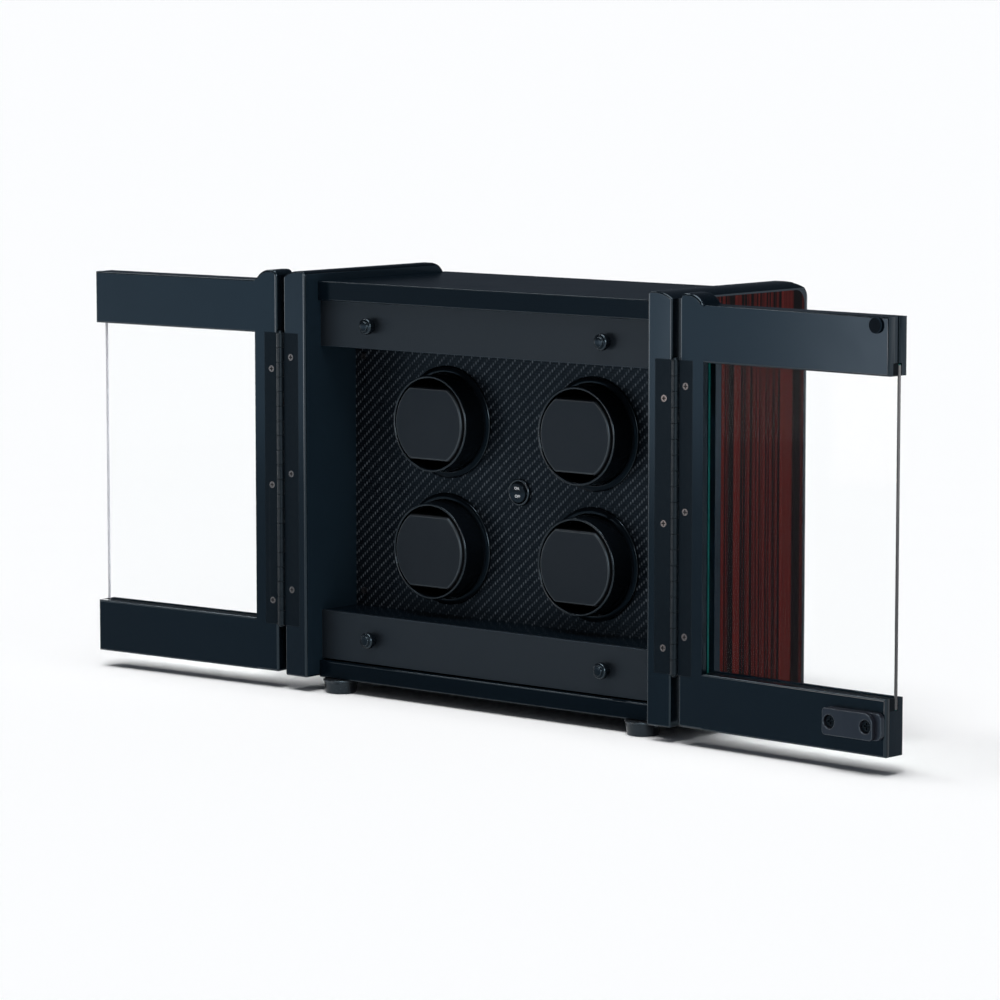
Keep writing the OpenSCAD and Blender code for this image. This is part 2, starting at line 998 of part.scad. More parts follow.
// A stile whose top falls in an arc to the rail
module door_stile(side) {
    arc_s = stile_end - stile_arc_w;
    color(LACQUER)
        difference() {
            on_door(side)
                difference() {
                    translate([0, door_out, 0])
                        rotate([90, 0, 0])
                            linear_extrude(door_t)
                                difference() {
                                    union() {
                                        translate([pin_out, side_z])
                                            square([stile_w, rail_top - side_z]);
                                        translate([pin_out, rail_top - cut])
                                            square([arc_s - pin_out, rail_drop + cut]);
                                        intersection() {
                                            translate([arc_s, side_top - stile_arc_r])
                                                circle(stile_arc_r);
                                            translate([arc_s - cut, rail_top - cut])
                                                square([stile_arc_w + cut, rail_drop + cut]);
                                        }
                                    }
                                    corner_waste(pin_out, side_top, stile_corner_r, 1, -1);
                                }
                    translate([stile_end - stile_groove_d, groove_in, side_z + groove_end])
                        cube([stile_groove_d + cut, groove_w, rail_top - side_z - 2 * groove_end]);
                    translate([0, door_in - cut, hinge_low])
                        cube([door_leaf_w, leaf_t + cut, hinge_l]);
                }
            on_door_leaf_screws(side)
                flat_screw_hole(hinge_screw_r, hinge_head_r, hinge_screw_l);
        }
}

// A rail with its groove for the glass, a shallow seam down its free end,
// and a stub tenon that fills the stile's groove beside the glass
module door_rail(low, groove_z, tenon_z, seam_in, seam_w) {
    tenon_l = stile_groove_d - tenon_end_gap;
    tenon_h = rail_h - groove_d - groove_end;
    difference() {
        union() {
            translate([stile_end, door_in, low])
                cube([door_end - stile_end, door_t, rail_h]);
            translate([stile_end - tenon_l, groove_in + tenon_slip, tenon_z])
                cube([tenon_l + cut, groove_w - 2 * tenon_slip, tenon_h]);
        }
        translate([stile_end - cut, groove_in, groove_z])
            cube([door_end - stile_end + 2 * cut, groove_w, groove_d + cut]);
        translate([door_end - seam_d, seam_in, low - cut])
            cube([seam_d + cut, seam_w, rail_h + 2 * cut]);
    }
}

module door_top_rail(side) {
    bumper_seat = bumper_stem + slip;
    color(LACQUER)
        on_door(side)
            difference() {
                door_rail(upper_rail_low, upper_rail_low - cut, upper_rail_low + groove_d,
                          top_seam_in, top_seam_w);
                if (side == RIGHT)
                    translate([bumper_s, door_in - cut, bumper_z])
                        backwards()
                            cylinder(h = bumper_seat + cut, r = bumper_stem_r + slip);
            }
}

module door_bottom_rail(side) {
    color(LACQUER)
        on_door(side)
            difference() {
                door_rail(side_z, lower_rail_top - groove_d, side_z + groove_end,
                          bottom_seam_in, bottom_seam_w);
                if (side == RIGHT)
                    on_catch_screws()
                        cylinder(h = catch_shank + slip, r = catch_shank_r + slip);
            }
}

module door_glass(side) {
    low = lower_rail_top - groove_d;
    high = upper_rail_low + groove_d - glass_edge_gap;
    start = stile_end - stile_groove_d + glass_edge_gap;
    color(GLASS)
        on_door(side)
            translate([start, glass_in, low])
                cube([door_end - start, glass_t, high - low]);
}

// Rubber strips in the rails that wedge the glass against the outer side of its groove
module glazing_strips(side) {
    strip_t = glass_in - groove_in;
    color(RUBBER)
        on_door(side)
            for (z = [lower_rail_top - groove_d, upper_rail_low])
                translate([stile_end, groove_in, z])
                    cube([door_end - stile_end, strip_t, groove_d]);
}

module on_catch_screws() {
    for (s = [-1, 1])
        translate([catch_mid + s * catch_screw_gap / 2, door_in, catch_z])
            backwards()
                children();
}

// A block with a lower rounded nose towards the door's free end
module catch_block() {
    low = catch_z - catch_h / 2;
    left = catch_mid - catch_l / 2;
    right = catch_mid + catch_l / 2;
    nose = right + catch_nose_l;
    color(PLASTIC)
        on_door(RIGHT)
            difference() {
                union() {
                    translate([0, door_in, 0])
                        rotate([90, 0, 0])
                            linear_extrude(catch_t)
                                difference() {
                                    translate([left, low])
                                        square([catch_l, catch_h]);
                                    corner_waste(left, low, catch_r, 1, 1);
                                    corner_waste(left, low + catch_h, catch_r, 1, -1);
                                    corner_waste(right, low + catch_h, catch_shoulder_r, -1, -1);
                                    corner_waste(right, low, catch_r, -1, 1);
                                }
                    translate([0, door_in, 0])
                        rotate([90, 0, 0])
                            linear_extrude(catch_nose_t)
                                difference() {
                                    translate([right - catch_shoulder_r - cut, low])
                                        square([nose - right + catch_shoulder_r + cut, catch_h]);
                                    corner_waste(nose, low, catch_nose_r, -1, 1);
                                    corner_waste(nose, low + catch_h, catch_nose_r, -1, -1);
                                }
                }
                on_catch_screws()
                    translate([0, 0, -catch_t - cut]) {
                        cylinder(h = catch_bore_d + cut, r = catch_bore_r);
                        cylinder(h = catch_t + 2 * cut, r = catch_shank_r + slip);
                    }
            }
}

module catch_screws() {
    seat = catch_t - catch_bore_d;
    color(HINGE)
        on_door(RIGHT)
            on_catch_screws()
                translate([0, 0, -seat])
                    drum_screw(catch_shank_r, catch_head_r, catch_head_h, catch_shank + seat);
}

module door_bumper() {
    color(RUBBER)
        on_door(RIGHT)
            translate([bumper_s, door_in, bumper_z])
                backwards() {
                    translate([0, 0, -bumper_t])
                        cylinder(h = bumper_t, r = bumper_r);
                    cylinder(h = bumper_stem, r = bumper_stem_r);
                }
}

// Heads

// A cup that widens from its lip to the panel, with a socket for the holder's stem
module cup(i) {
    wall_r = 41.8;
    neck_end = 2;
    seat_slip = 0.02;
    seat_r = spindle_r + seat_slip;
    color(PLASTIC)
        at_head(i)
            difference() {
                union() {
                    rotate_extrude()
                        difference() {
                            polygon([
                                [0, cup_lip_y], [cup_lip_r, cup_lip_y], [cup_neck_r, panel_y - ring_proud],
                                [cup_neck_r, panel_back], [wall_r, panel_back + neck_end],
                                [wall_r, cup_rear_y],
                                [0, cup_rear_y]
                            ]);
                            square([cup_in_r, cup_back_y]);
                        }
                    translate([0, 0, cup_back_y - hub_h])
                        cylinder(h = hub_h + cut, r = hub_r);
                }
                translate([0, 0, cup_back_y - hub_h - cut])
                    cylinder(h = socket_floor_y - cup_back_y + hub_h + cut, r = stem_r + stem_slip);
                translate([0, 0, socket_floor_y - cut])
                    cylinder(h = cup_rear_y - socket_floor_y + 2 * cut, r = seat_r);
            }
}

module spindle(i) {
    flat_d = 0.5;
    color(STEEL)
        at_head(i)
            difference() {
                translate([0, 0, socket_floor_y])
                    cylinder(h = gearbox_y + spindle_in_gearbox - socket_floor_y, r = spindle_r);
                translate([spindle_r - flat_d, -spindle_r, gearbox_y + cut])
                    cube([spindle_r, 2 * spindle_r, spindle_in_gearbox]);
            }
}

// A round holder with two flats that a band wraps over, and a stem
module holder(i) {
    color(PLASTIC)
        at_head(i) {
            intersection() {
                translate([0, 0, holder_y])
                    cylinder(h = holder_body, r = holder_r);
                translate([-holder_r, -holder_flat, holder_y])
                    cube([2 * holder_r, 2 * holder_flat, holder_body]);
            }
            translate([0, 0, holder_back_y])
                cylinder(h = stem_len, r = stem_r);
        }
}

in_frame() side_panel(LEFT);  // left_side_panel
in_frame() side_panel(RIGHT);  // right_side_panel
in_frame() side_veneer(LEFT);  // left_side_veneer
in_frame() side_veneer(RIGHT);  // right_side_veneer
in_frame() top_panel();
in_frame() bottom_panel();
in_frame() back_panel();
in_frame() back_panel_screws();
in_frame() upper_fascia();
in_frame() lower_fascia();
in_frame() fascia_thumbscrews();
in_frame() upper_ledge();
in_frame() lower_ledge();
in_frame() winder_panel();
in_frame() panel_cleats();
in_frame() winder_panel_screws();
in_frame() bezel_rings();
in_frame() chassis_plate();
in_frame() chassis_standoffs();
in_frame() gearmotors();
in_frame() control_board();
in_frame() power_inlet();
in_frame() switch_body();
in_frame() switch_rocker();
in_frame() feet();
in_frame() foot_screws();
in_frame() cabinet_hinge_screws();
in_frame() hinge_cabinet_leaf(LEFT);  // left_hinge_cabinet_leaf
in_frame() hinge_cabinet_leaf(RIGHT);  // right_hinge_cabinet_leaf
in_frame() hinge_pin(LEFT);  // left_hinge_pin
in_frame() hinge_pin(RIGHT);  // right_hinge_pin
in_frame() door_stile(LEFT);  // left_door_stile
in_frame() door_top_rail(LEFT);  // left_door_top_rail
in_frame() door_bottom_rail(LEFT);  // left_door_bottom_rail
in_frame() door_glass(LEFT);  // left_door_glass
in_frame() glazing_strips(LEFT);  // left_glazing_strips
in_frame() hinge_door_leaf(LEFT);  // left_hinge_door_leaf
in_frame() door_hinge_screws(LEFT);  // left_door_hinge_screws
in_frame() door_stile(RIGHT);  // right_door_stile
in_frame() door_top_rail(RIGHT);  // right_door_top_rail
in_frame() door_bottom_rail(RIGHT);  // right_door_bottom_rail
in_frame() door_glass(RIGHT);  // right_door_glass
in_frame() glazing_strips(RIGHT);  // right_glazing_strips
in_frame() hinge_door_leaf(RIGHT);  // right_hinge_door_leaf
in_frame() door_hinge_screws(RIGHT);  // right_door_hinge_screws
in_frame() catch_block();
in_frame() catch_screws();
in_frame() door_bumper();
for (i = HEADS) {
    in_frame() cup(i);
    in_frame() spindle(i);
    in_frame() holder(i);
}
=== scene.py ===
"""Looks of a watch winder cabinet: finishes, rounded edges, panes and lettering on its fixed frame."""
import json
import math

import bmesh
import bpy
from mathutils import Matrix, Vector

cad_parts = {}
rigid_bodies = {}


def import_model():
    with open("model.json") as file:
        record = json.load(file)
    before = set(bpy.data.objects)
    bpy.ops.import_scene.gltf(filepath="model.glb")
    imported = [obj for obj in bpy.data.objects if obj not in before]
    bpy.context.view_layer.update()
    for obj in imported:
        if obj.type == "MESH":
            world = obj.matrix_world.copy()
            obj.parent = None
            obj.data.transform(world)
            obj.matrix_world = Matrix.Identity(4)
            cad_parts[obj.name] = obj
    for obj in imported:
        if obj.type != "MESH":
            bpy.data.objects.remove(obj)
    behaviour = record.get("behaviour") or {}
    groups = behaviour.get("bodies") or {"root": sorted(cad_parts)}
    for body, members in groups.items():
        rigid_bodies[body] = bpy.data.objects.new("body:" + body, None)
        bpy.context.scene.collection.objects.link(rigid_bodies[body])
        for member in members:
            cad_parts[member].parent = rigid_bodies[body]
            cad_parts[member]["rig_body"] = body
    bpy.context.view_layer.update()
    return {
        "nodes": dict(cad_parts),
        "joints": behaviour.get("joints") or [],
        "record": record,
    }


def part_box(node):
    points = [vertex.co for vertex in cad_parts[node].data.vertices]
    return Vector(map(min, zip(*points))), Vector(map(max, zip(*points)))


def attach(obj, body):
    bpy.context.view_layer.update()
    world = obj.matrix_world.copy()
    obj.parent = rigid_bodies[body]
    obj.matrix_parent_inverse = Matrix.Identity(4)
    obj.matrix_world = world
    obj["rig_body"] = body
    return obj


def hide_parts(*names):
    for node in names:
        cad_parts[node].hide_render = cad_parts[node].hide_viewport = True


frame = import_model()

MM = 0.001
NODES = frame["nodes"]
JOINTS = {joint["name"]: joint for joint in frame["joints"]}
SLOT_OF = {part["node"]: part["material_slot"] for part in frame["record"]["subparts"]}
HEADS = (1, 2, 3, 4)
SIDES = {"left": -1, "right": 1}
# At rest each door stands this far off the line of the cabinet's front
DOOR_AJAR = math.radians(JOINTS["right_door_swing"]["range_deg"][1])


# Finishes

# The colour sockets of a Mix node
MIX_SHARE = 0
MIX_FIRST = 6
MIX_SECOND = 7
MIX_RESULT = 2


class Finish:
    """A procedural material in the making, with short calls for the nodes that the finishes share."""

    def __init__(self, name, sockets):
        self.material = bpy.data.materials.new(name)
        self.material.use_nodes = True
        self.tree = self.material.node_tree
        self.shader = self.tree.nodes["Principled BSDF"]
        for label, value in sockets.items():
            self.shader.inputs[label].default_value = value

    def add(self, kind, inputs, **settings):
        node = self.tree.nodes.new(kind)
        for name, value in settings.items():
            setattr(node, name, value)
        for label, value in inputs.items():
            if isinstance(value, bpy.types.NodeSocket):
                self.tree.links.new(value, node.inputs[label])
            else:
                node.inputs[label].default_value = value
        return node

    def place(self, scale=(1, 1, 1), turn=(0, 0, 0)):
        """Object coordinates, scaled and turned."""
        where = self.add("ShaderNodeTexCoord", {}).outputs["Object"]
        inputs = {"Vector": where, "Scale": scale, "Rotation": turn}
        return self.add("ShaderNodeMapping", inputs).outputs["Vector"]

    def axes(self, vector):
        return self.add("ShaderNodeSeparateXYZ", {"Vector": vector}).outputs

    def noise(self, scale, detail=3.0, roughness=0.5, vector=None, line=None):
        """Soft noise in space, or along a line where a value is given for it."""
        inputs = {"Scale": scale, "Detail": detail, "Roughness": roughness}
        if line is not None:
            inputs["W"] = line
            return self.add("ShaderNodeTexNoise", inputs, noise_dimensions="1D").outputs["Fac"]
        inputs["Vector"] = vector or self.place()
        return self.add("ShaderNodeTexNoise", inputs).outputs["Fac"]

    def calc(self, operation, first, second=0.0):
        inputs = {0: first, 1: second}
        return self.add("ShaderNodeMath", inputs, operation=operation).outputs["Value"]

    def spread(self, value, low, high, start=0.0, end=1.0):
        """Maps a value's span from start to end onto low to high."""
        inputs = {"Value": value, "From Min": start, "From Max": end, "To Min": low, "To Max": high}
        return self.add("ShaderNodeMapRange", inputs).outputs["Result"]

    def blend(self, share, first, second):
        node = self.add("ShaderNodeMix", {}, data_type="RGBA")
        for socket, value in ((MIX_SHARE, share), (MIX_FIRST, first), (MIX_SECOND, second)):
            if isinstance(value, bpy.types.NodeSocket):
                self.tree.links.new(value, node.inputs[socket])
            elif socket == MIX_SHARE:
                node.inputs[socket].default_value = value
            else:
                node.inputs[socket].default_value = (*value, 1)
        return node.outputs[MIX_RESULT]

    def drive(self, label, value):
        self.tree.links.new(value, self.shader.inputs[label])

    def bump(self, height, distance, strength):
        inputs = {"Height": height, "Distance": distance, "Strength": strength}
        self.drive("Normal", self.add("ShaderNodeBump", inputs).outputs["Normal"])


COOL_SHEEN = (0.3, 0.65, 1.0, 1)
SATIN_SHEEN = (0.46, 0.74, 1.0, 1)
PALE_SHEEN = (0.62, 0.84, 1.0, 1)

# Darkest and lightest tone of each black finish
LACQUER_BLACK = ((0.0016, 0.0036, 0.006), (0.003, 0.0062, 0.0098))
# The inner walls' lacquer, painted lighter than the rest: painted light that stands in for light
# reflected on them
WALL_PAINTED_LIGHT = ((0.009, 0.018, 0.027), (0.014, 0.027, 0.04))
GLOSS_BLACK = ((0.0022, 0.0036, 0.0054), (0.0042, 0.006, 0.0082))
SOFT_BLACK = ((0.0085, 0.0092, 0.0105), (0.0125, 0.0132, 0.0148))
PLAIN_BLACK = ((0.0026, 0.0042, 0.006), (0.0052, 0.0074, 0.0098))
CATCH_GREY = ((0.012, 0.0128, 0.0175), (0.018, 0.019, 0.025))


def black_lacquer(name, tint, sheen, wear, tones=LACQUER_BLACK):
    """Sprayed black lacquer: a cool sheen, faint orange peel, and edges rubbed a little thin."""
    f = Finish(name, {"Specular Tint": tint, "Specular IOR Level": sheen})
    body = f.blend(f.noise(7, 3), *tones)
    patchy = f.spread(f.noise(90, 4), 0, wear, 0.5, 0.8)
    f.drive("Base Color", f.blend(patchy, body, (0.022, 0.026, 0.032)))
    f.drive("Roughness", f.spread(f.noise(38, 4), 0.13, 0.2))
    f.bump(f.noise(380, 2), 0.02 * MM, 0.3)
    return f.material


# How far the strips near the veneer's back edge reach in from it
EDGE_STRIP = 4.2 * MM
DARK_STRIP = 15.5 * MM
BROAD_STRIP = 32 * MM
# How soft their borders are, and how far the stripes stray to either side
SOFTNESS = 0.6 * MM
DRIFT = 2.5 * MM


def striped_veneer():
    """Dark veneer with narrow reddish stripes that run upwards, and a broad one near its back edge."""
    f = Finish("striped_veneer", {"Specular IOR Level": 0.012})
    drift = f.noise(5, 3, vector=f.place(scale=(1, 1, 0.35)))
    along = f.calc("ADD", f.axes(f.place())["Y"], f.spread(drift, -DRIFT, DRIFT))
    inwards = f.calc("SUBTRACT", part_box("right_side_veneer")[1].y, along)

    def past(limit):
        return f.spread(inwards, 0, 1, limit - SOFTNESS, limit + SOFTNESS)

    narrow = f.spread(f.noise(235, 2, 0.6, line=along), 0, 1, 0.46, 0.51)
    spaced = f.calc("MULTIPLY", narrow, f.spread(f.noise(62, 1, line=along), 0.0, 1.0, 0.3, 0.38))
    broad = f.calc("SUBTRACT", past(DARK_STRIP), past(BROAD_STRIP))
    rim = f.calc("SUBTRACT", 1, past(EDGE_STRIP))
    dark = f.calc("SUBTRACT", past(EDGE_STRIP), past(DARK_STRIP))
    lined = f.spread(f.noise(900, 1, line=along), 0.4, 1, 0.36, 0.46)
    bands = f.calc("MAXIMUM", broad, f.calc("MULTIPLY", rim, 0.4))
    plain = f.calc("MULTIPLY", f.calc("SUBTRACT", 1, dark), f.calc("MAXIMUM", spaced, bands))
    stripe = f.calc("MULTIPLY", plain, lined)
    pores = f.noise(420, 3, 0.6, vector=f.place(scale=(1, 3, 0.1)))
    red = f.blend(f.noise(120, 2, line=along), (0.03, 0.004, 0.0044), (0.135, 0.0145, 0.0122))
    warm = f.blend(f.spread(pores, 0, 0.6, 0.48, 0.75), red, (0.018, 0.005, 0.005))
    f.drive("Base Color", f.blend(stripe, (0.0032, 0.0022, 0.0034), warm))
    f.drive("Roughness", f.spread(pores, 0.14, 0.26))
    f.bump(pores, 0.02 * MM, 0.2)
    return f.material


def satin_fascia(name, sheen):
    """Satin black sheet with a fine grain."""
    f = Finish(name, {"Specular Tint": SATIN_SHEEN, "Specular IOR Level": sheen})
    grain = f.noise(1500, 2)
    cloud = f.noise(6, 2)
    f.drive("Base Color", f.blend(cloud, (0.006, 0.008, 0.0105), (0.009, 0.0112, 0.014)))
    f.drive("Roughness", f.spread(grain, 0.38, 0.5))
    f.bump(grain, 0.015 * MM, 0.3)
    return f.material


# Width of an upright and of a level tow
TOW_ACROSS = 2.42 * MM
TOW_UP = 2.16 * MM


def carbon_twill():
    """Two-by-two twill of black tows under clear resin. Its diagonals rise to the right, and each tow
    carries a painted highlight.
    """
    f = Finish("carbon_twill", {"Specular IOR Level": 0.05, "Specular Tint": COOL_SHEEN})
    place = f.axes(f.place())
    across = f.calc("DIVIDE", place["X"], TOW_ACROSS)
    up = f.calc("DIVIDE", place["Z"], TOW_UP)
    column = f.calc("FLOOR", across)
    row = f.calc("FLOOR", up)

    def four(value):
        return f.calc("FLOORED_MODULO", value, 4)

    def dome(value, span):
        return f.calc("SINE", f.calc("MULTIPLY", value, math.pi / span))

    upright_on_top = f.calc("LESS_THAN", four(f.calc("SUBTRACT", column, row)), 2)
    upright_along = four(f.calc("ADD", f.calc("SUBTRACT", up, column), 1))
    level_along = four(f.calc("SUBTRACT", f.calc("SUBTRACT", across, row), 2))
    upright = f.calc("MULTIPLY", dome(upright_along, 2), dome(f.calc("FRACT", across), 1))
    level = f.calc("MULTIPLY", dome(level_along, 2), dome(f.calc("FRACT", up), 1))
    uneven = f.noise(260, 4, 0.6)
    frayed = f.noise(1300, 2)
    # Painted highlight: a grey glint along the crown of each upright tow, put into the base colour
    upright_glint = f.calc("MULTIPLY", f.calc("POWER", upright, 2.0), f.spread(uneven, 0.1, 1.15, 0.3, 0.68))
    upright_glint = f.calc("MULTIPLY", upright_glint, f.spread(frayed, 0.55, 1.3, 0.3, 0.7))
    # Painted highlight, fainter, along the crown of each level tow
    faint = f.calc("MULTIPLY", level, f.spread(uneven, 1.0, 0.0, 0.35, 0.7))
    faint = f.calc("MULTIPLY", faint, f.spread(frayed, 0.0, 1.3, 0.35, 0.7))
    painted_upright_glint = f.blend(upright_glint, (0.0022, 0.0038, 0.006), (0.135, 0.155, 0.178))
    painted_level_glint = f.blend(faint, (0.0014, 0.0026, 0.0044), (0.02, 0.026, 0.034))
    f.drive("Base Color", f.blend(upright_on_top, painted_level_glint, painted_upright_glint))
    f.drive("Roughness", f.spread(f.noise(60, 3), 0.22, 0.34))
    relief = f.calc("ADD", f.calc("MULTIPLY", upright, upright_on_top),
                    f.calc("MULTIPLY", level, f.calc("SUBTRACT", 1, upright_on_top)))
    f.bump(relief, 0.16 * MM, 0.4)
    return f.material


def moulded_plastic(name, tint, sheen, wear, tones, roughness, grain_scale):
    """Black moulded plastic with a fine moulded grain, lighter where it is rubbed."""
    f = Finish(name, {"Specular Tint": tint, "Specular IOR Level": sheen})
    grain = f.noise(grain_scale, 3)
    body = f.blend(f.noise(24, 3), *tones)
    worn = f.spread(f.noise(130, 4), 0, wear, 0.45, 0.8)
    f.drive("Base Color", f.blend(worn, body, (0.03, 0.033, 0.037)))
    f.drive("Roughness", f.spread(grain, roughness - 0.05, roughness + 0.08))
    f.bump(grain, 0.02 * MM, 0.3)
    return f.material


def foot_plastic(name, sheen):
    """Black plastic of the feet, with a paler shine than the rest."""
    look = {"wear": 0.1, "tones": SOFT_BLACK, "roughness": 0.24, "grain_scale": 200}
    return moulded_plastic(name, PALE_SHEEN, sheen, **look)


def blackened_steel(name, tint, sheen, wear):
    """Hinge strip in black oxide, with metal showing through where it is rubbed."""
    f = Finish(name, {"Specular Tint": tint, "Specular IOR Level": sheen})
    blotch = f.noise(55, 5, 0.6)
    body = f.blend(blotch, (0.0016, 0.003, 0.0046), (0.0034, 0.006, 0.0088))
    worn = f.spread(f.noise(240, 4), 0, wear, 0.45, 0.75)
    f.drive("Base Color", f.blend(worn, body, (0.07, 0.075, 0.08)))
    f.drive("Roughness", f.spread(blotch, 0.28, 0.45))
    f.bump(f.noise(700, 2), 0.02 * MM, 0.4)
    return f.material


def screw_steel():
    """Dull dark steel, blotchy and finely scratched."""
    f = Finish("screw_steel", {"Metallic": 1.0})
    blotch = f.noise(400, 4, 0.6)
    f.drive("Base Color", f.blend(blotch, (0.04, 0.042, 0.046), (0.1, 0.104, 0.11)))
    f.drive("Roughness", f.spread(blotch, 0.25, 0.4))
    f.bump(f.noise(2600, 2), 0.01 * MM, 0.4)
    return f.material


def screw_recess_painted_shade():
    """The cross recess of a screw, painted dark: painted shade where the light doesn't reach into it.
    """
    f = Finish("screw_recess_painted_shade", {"Specular IOR Level": 0.2})
    # Painted shade: two dark tones that stand in for the shade inside the recess
    painted_shade = f.noise(900, 3)
    f.drive("Base Color", f.blend(painted_shade, (0.004, 0.005, 0.0062), (0.022, 0.024, 0.027)))
    f.drive("Roughness", f.spread(painted_shade, 0.5, 0.8))
    f.bump(painted_shade, 0.02 * MM, 0.5)
    return f.material


def zinc_plate():
    """Zinc-plated sheet and motor cans, with a faint spangle."""
    f = Finish("zinc_plate", {"Metallic": 1.0})
    spangle = f.add("ShaderNodeTexVoronoi", {"Vector": f.place(), "Scale": 130.0}).outputs["Color"]
    tone = f.add("ShaderNodeSeparateColor", {"Color": spangle}).outputs["Red"]
    f.drive("Base Color", f.blend(tone, (0.42, 0.43, 0.43), (0.6, 0.61, 0.6)))
    f.drive("Roughness", f.spread(tone, 0.3, 0.42))
    f.bump(f.noise(900, 2), 0.01 * MM, 0.3)
    return f.material


def circuit_board():
    """Green board with paler tracks."""
    f = Finish("circuit_board", {"Specular IOR Level": 0.4})
    upright = f.place(turn=(math.radians(90), 0, 0))
    brick = {"Vector": upright, "Scale": 260.0, "Mortar Size": 0.035}
    track = f.add("ShaderNodeTexBrick", brick).outputs["Fac"]
    f.drive("Base Color", f.blend(track, (0.006, 0.06, 0.024), (0.03, 0.15, 0.07)))
    f.drive("Roughness", f.spread(f.noise(300), 0.3, 0.45))
    f.bump(track, 0.03 * MM, 0.4)
    return f.material


def bare_pine():
    """Bare softwood battens with upright grain."""
    f = Finish("bare_pine", {"Specular IOR Level": 0.2})
    rings = f.noise(220, 3, 0.6, vector=f.place(scale=(1, 1, 0.06)))
    late = f.spread(rings, 0, 1, 0.35, 0.65)
    f.drive("Base Color", f.blend(late, (0.55, 0.37, 0.2), (0.32, 0.18, 0.08)))
    f.drive("Roughness", f.spread(rings, 0.6, 0.75))
    f.bump(rings, 0.08 * MM, 0.5)
    return f.material


def black_rubber(name, sheen):
    """Dull black rubber with a powdery surface."""
    f = Finish(name, {"Specular Tint": COOL_SHEEN, "Specular IOR Level": sheen})
    powder = f.noise(900, 4, 0.65)
    f.drive("Base Color", f.blend(powder, (0.0014, 0.0022, 0.0034), (0.0042, 0.0056, 0.0076)))
    f.drive("Roughness", f.spread(powder, 0.45, 0.65))
    f.bump(powder, 0.03 * MM, 0.5)
    return f.material


# Low enough that a pane doesn't veil what is behind it
PANE_IOR = 1.09
PANE_TONE = (0.985, 0.992, 0.99, 1)


def clear_glass():
    """Clear float glass with faint wipe marks. Lamp light passes through it."""
    f = Finish("clear_glass", {"Transmission Weight": 1.0, "IOR": PANE_IOR, "Base Color": PANE_TONE})
    smear = f.noise(30, 4, 0.6, vector=f.place(scale=(1, 1, 0.35)))
    f.drive("Roughness", f.spread(smear, 0.0, 0.002, 0.55, 0.8))
    shadow = f.add("ShaderNodeLightPath", {}).outputs["Is Shadow Ray"]
    open_air = f.add("ShaderNodeBsdfTransparent", {"Color": (0.95, 0.98, 0.97, 1)}).outputs["BSDF"]
    mix = f.add("ShaderNodeMixShader", {0: shadow, 1: f.shader.outputs["BSDF"], 2: open_air})
    f.tree.links.new(mix.outputs["Shader"], f.tree.nodes["Material Output"].inputs["Surface"])
    return f.material


def glass_edge():
    """The ground edge of a pane, green, with a painted glow: a faint emission that stands in for light
    carried inside the glass.
    """
    # Painted glow: the edge gives off a little green light though it is no lamp
    glow = {"Emission Color": (0.01, 0.3, 0.27, 1), "Emission Strength": 0.08}
    f = Finish("glass_edge", {"Specular IOR Level": 0.2, **glow})
    depth = f.noise(45, 3, vector=f.place(scale=(1, 1, 0.4)))
    f.drive("Base Color", f.blend(depth, (0.004, 0.04, 0.038), (0.01, 0.09, 0.085)))
    f.drive("Roughness", f.spread(f.noise(600, 3), 0.2, 0.4))
    f.bump(f.noise(800, 3), 0.02 * MM, 0.4)
    return f.material


def pane_end(name, dark, light):
    """The polished free end of a pane, in tones that paint in how the light falls on it."""
    f = Finish(name, {"Specular IOR Level": 0.6})
    depth = f.noise(30, 3, vector=f.place(scale=(1, 1, 0.3)))
    f.drive("Base Color", f.blend(depth, dark, light))
    f.drive("Roughness", f.spread(f.noise(500, 3), 0.1, 0.25))
    f.bump(f.noise(900, 2), 0.01 * MM, 0.3)
    return f.material


def white_print():
    """White pad-printed lettering, slightly worn."""
    f = Finish("white_print", {"Specular IOR Level": 0.3})
    worn = f.noise(1800, 4)
    rubbed = f.spread(worn, 0, 1, 0.5, 0.85)
    f.drive("Base Color", f.blend(rubbed, (0.8, 0.81, 0.82), (0.45, 0.46, 0.47)))
    f.drive("Roughness", f.spread(worn, 0.4, 0.6))
    f.bump(worn, 0.005 * MM, 0.3)
    return f.material


def faces_and_edges(make, name, face_sheen, edge_sheen):
    """A finish for plain faces, and the same one for rounded edges, which shine more."""
    return make(name, face_sheen), make(f"{name}_edges", edge_sheen)


def worn_pair(make, name, sheens, wears, *rest):
    """A finish for plain faces, and one for rounded edges, which shine and wear more."""
    faces = make(name, COOL_SHEEN, sheens[0], wears[0], *rest)
    return faces, make(f"{name}_edges", PALE_SHEEN, sheens[1], wears[1], *rest)


LACQUER_WEAR = (0.0, 0.15)
PLASTIC_WEAR = (0.0, 0.2)
HINGE_WEAR = (0.02, 0.06)


def plastic_pair(name, sheens, tones, roughness, grain_scale):
    """Moulded plastic for plain faces and for rounded edges."""
    return worn_pair(moulded_plastic, name, sheens, PLASTIC_WEAR, tones, roughness, grain_scale)


